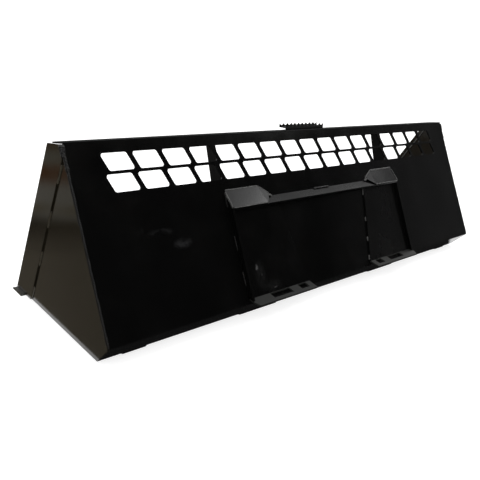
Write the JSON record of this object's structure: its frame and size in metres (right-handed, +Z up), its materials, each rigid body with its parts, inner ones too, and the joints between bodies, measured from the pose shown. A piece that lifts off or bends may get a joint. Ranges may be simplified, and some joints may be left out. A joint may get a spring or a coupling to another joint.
{
  "type": "skid steer bucket",
  "caption": "Welded steel loader bucket with slanted see-through cut-outs in its back, side cutters, a step and a universal skid steer quick-attach mount.",
  "frame": {"origin": "centre of the bounding box's bottom face, on the ground under the cutting edge and wear strips", "axes": "+X along the bucket's width, +Y towards the cutting edge and the open front, +Z up"},
  "size_m": [2.478, 0.9312, 0.766],
  "materials": {
    "shell_paint": "gloss",
    "mount_paint": "gloss",
    "wear_steel_paint": "gloss",
    "painted_weld": "gloss"
  },
  "bodies": {
    "root": {"back_sheet": "shell_paint", "cutting_edge": "wear_steel_paint", "floor_sheet": "shell_paint", "heel_plate": "shell_paint", "hook_bar": "mount_paint", "hook_ear_left": "mount_paint", "hook_ear_right": "mount_paint", "mount_gusset_left": "mount_paint", "mount_gusset_right": "mount_paint", "mount_plate_left": "mount_paint", "mount_plate_right": "mount_paint", "pin_flange_left": "mount_paint", "pin_flange_right": "mount_paint", "rib_left": "shell_paint", "rib_right": "shell_paint", "side_cutter_left": "shell_paint", "side_cutter_right": "shell_paint", "side_plate_left": "shell_paint", "side_plate_right": "shell_paint", "step_bracket": "mount_paint", "step_tread": "mount_paint", "top_rail": "shell_paint", "wear_strip_inner_left": "wear_steel_paint", "wear_strip_inner_right": "wear_steel_paint", "wear_strip_outer_left": "wear_steel_paint", "wear_strip_outer_right": "wear_steel_paint", "weld_corner_left": "painted_weld", "weld_corner_right": "painted_weld", "weld_cutter_left": "painted_weld", "weld_cutter_right": "painted_weld", "weld_gusset_left": "painted_weld", "weld_gusset_right": "painted_weld", "weld_hook": "painted_weld", "weld_seam_left": "painted_weld", "weld_seam_right": "painted_weld"}
  },
  "joints": []
}
